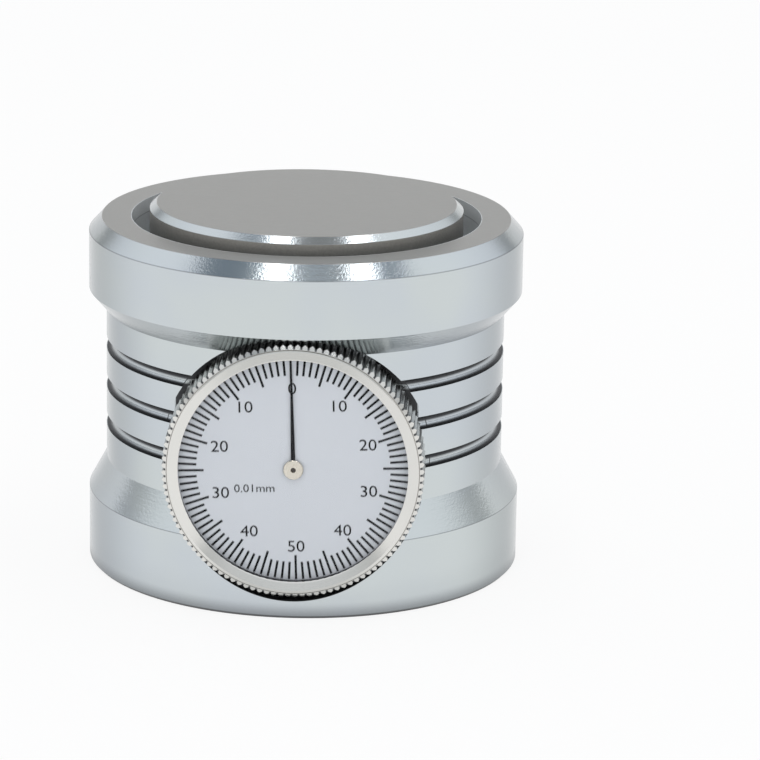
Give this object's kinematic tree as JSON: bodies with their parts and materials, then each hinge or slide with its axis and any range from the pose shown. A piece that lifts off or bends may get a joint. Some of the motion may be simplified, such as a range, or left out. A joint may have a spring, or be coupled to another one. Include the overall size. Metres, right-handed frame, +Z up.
{
  "type": "tool length setter",
  "caption": "Turned steel spool with a sprung flat anvil on top and a round knurled dial indicator in its front, for setting tool heights.",
  "frame": {"origin": "centre of the round base, on the surface it stands on", "axes": "+Z up through the middle of the anvil, the dial faces -Y, +X to the right of the dial"},
  "size_m": [0.06, 0.0603, 0.0505],
  "materials": {
    "body_steel": "fine turned and ground, satin",
    "anvil_steel": "hardened and ground, matte",
    "hard_steel": "hardened and ground",
    "bronze": "plain bearing bronze",
    "spring_steel": "drawn wire and strip",
    "black_steel": "blackened steel",
    "arm_steel": "milled",
    "screw_steel": "turned",
    "wheel_brass": "cut and polished",
    "plate_brass": "stamped",
    "case_aluminium": "turned",
    "bezel_aluminium": "knurled and satin plated",
    "crystal_clear": "clear, polished",
    "spacer_black": "moulded",
    "dial_white": "white with printed graduations",
    "pointer_black": "matte black",
    "hub_steel": "turned"
  },
  "bodies": {
    "housing": {"body": "body_steel", "guide_bush": "bronze", "return_spring": "spring_steel", "base_plug": "black_steel", "dial_case": "case_aluminium", "case_grub_screw": "black_steel", "rear_plate": "plate_brass", "pillars": "plate_brass", "plate_screws": "screw_steel", "case_screws": "screw_steel", "bearing_bushes": "bronze", "hairspring": "spring_steel", "hairspring_stud": "wheel_brass", "bezel_ring": "spring_steel"},
    "plunger_group": {"anvil": "anvil_steel", "plunger": "hard_steel", "guide_pin": "hard_steel", "rack_arm": "arm_steel", "arm_screw": "black_steel", "rack": "hard_steel", "rack_screw": "screw_steel"},
    "bezel_group": {"bezel": "bezel_aluminium", "crystal": "crystal_clear", "crystal_spacer": "spacer_black", "dial_plate": "dial_white", "dial_ring": "spring_steel"},
    "pointer_group": {"centre_pinion": "hard_steel", "pointer": "pointer_black", "pointer_hub": "hub_steel"},
    "rack_wheel": {"rack_pinion": "hard_steel", "first_gear": "wheel_brass"},
    "hairspring_wheel": {"hairspring_arbor": "hard_steel", "hairspring_gear": "wheel_brass"}
  },
  "joints": [
    {"name": "anvil_travel", "type": "slide", "parent": "housing", "child": "plunger_group", "axis": [0, 0, -1], "range_m": [0, 0.002], "stiffness_N_per_m": 600, "springref_m": -0.003, "deforming": ["return_spring"]},
    {"name": "bezel_turn", "type": "hinge", "parent": "housing", "child": "bezel_group", "pos_m": [0, -0.0255, 0.0205], "axis": [0, -1, 0], "continuous": true},
    {"name": "rack_wheel_spin", "type": "hinge", "parent": "housing", "child": "rack_wheel", "pos_m": [0.00479, -0.018, 0.02504], "axis": [0, -1, 0], "range_deg": [0, 72.1]},
    {"name": "pointer_spin", "type": "hinge", "parent": "housing", "child": "pointer_group", "pos_m": [0, -0.018, 0.0205], "axis": [0, -1, 0], "range_deg": [-721, 0]},
    {"name": "hairspring_wheel_spin", "type": "hinge", "parent": "housing", "child": "hairspring_wheel", "pos_m": [-0.00467, -0.018, 0.01583], "axis": [0, -1, 0], "range_deg": [0, 72.1]}
  ],
  "couplings": [
    {"joint": "rack_wheel_spin", "follows": "anvil_travel", "rad_per_m": 628.32},
    {"joint": "pointer_spin", "follows": "anvil_travel", "rad_per_m": -6283.2},
    {"joint": "hairspring_wheel_spin", "follows": "anvil_travel", "rad_per_m": 628.32}
  ]
}
